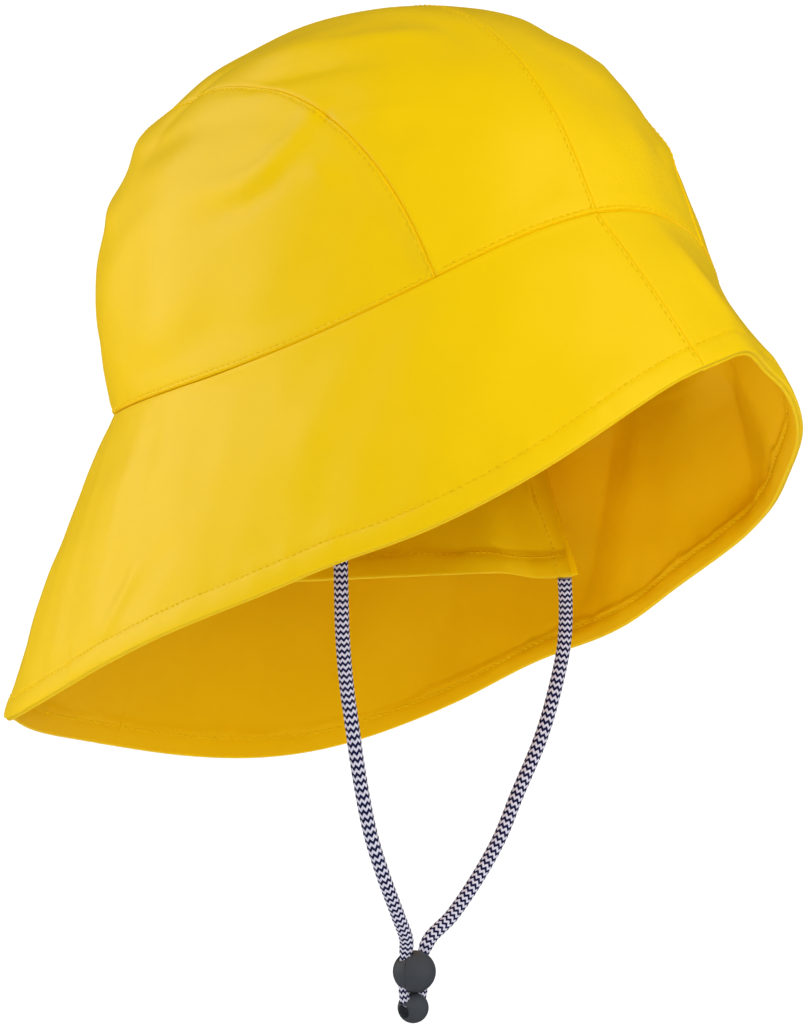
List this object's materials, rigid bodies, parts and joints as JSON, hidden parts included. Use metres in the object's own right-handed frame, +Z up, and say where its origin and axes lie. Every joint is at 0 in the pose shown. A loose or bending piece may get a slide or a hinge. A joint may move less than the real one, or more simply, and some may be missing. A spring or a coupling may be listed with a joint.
{
  "type": "sou wester hat",
  "caption": "Rain hat with a panelled cloth crown, a sloping brim that is long behind, an inner neck flap, and a braided chin cord with a ball lock and an end bead.",
  "frame": {"origin": "centre of the head opening, where the hat sits on a head", "axes": "+Z up along the wearer's head, -Y towards the front of the hat, +X towards the wearer's left"},
  "size_m": [0.198, 0.2689, 0.3051],
  "materials": {
    "coated_cloth": "yellow coated rain cloth, smooth with a soft satin sheen",
    "braided_cord": "round braid of navy and white yarns in fine zigzag rows",
    "black_plastic": "black moulded plastic, satin"
  },
  "bodies": {
    "root": {"crown_top_right": "coated_cloth", "crown_top_left": "coated_cloth", "crown_side_right": "coated_cloth", "crown_side_left": "coated_cloth", "brim_right": "coated_cloth", "brim_left": "coated_cloth", "neck_flap": "coated_cloth", "chin_cord": "braided_cord", "cord_lock": "black_plastic", "cord_lock_cap": "black_plastic", "cord_bead": "black_plastic"}
  },
  "joints": []
}
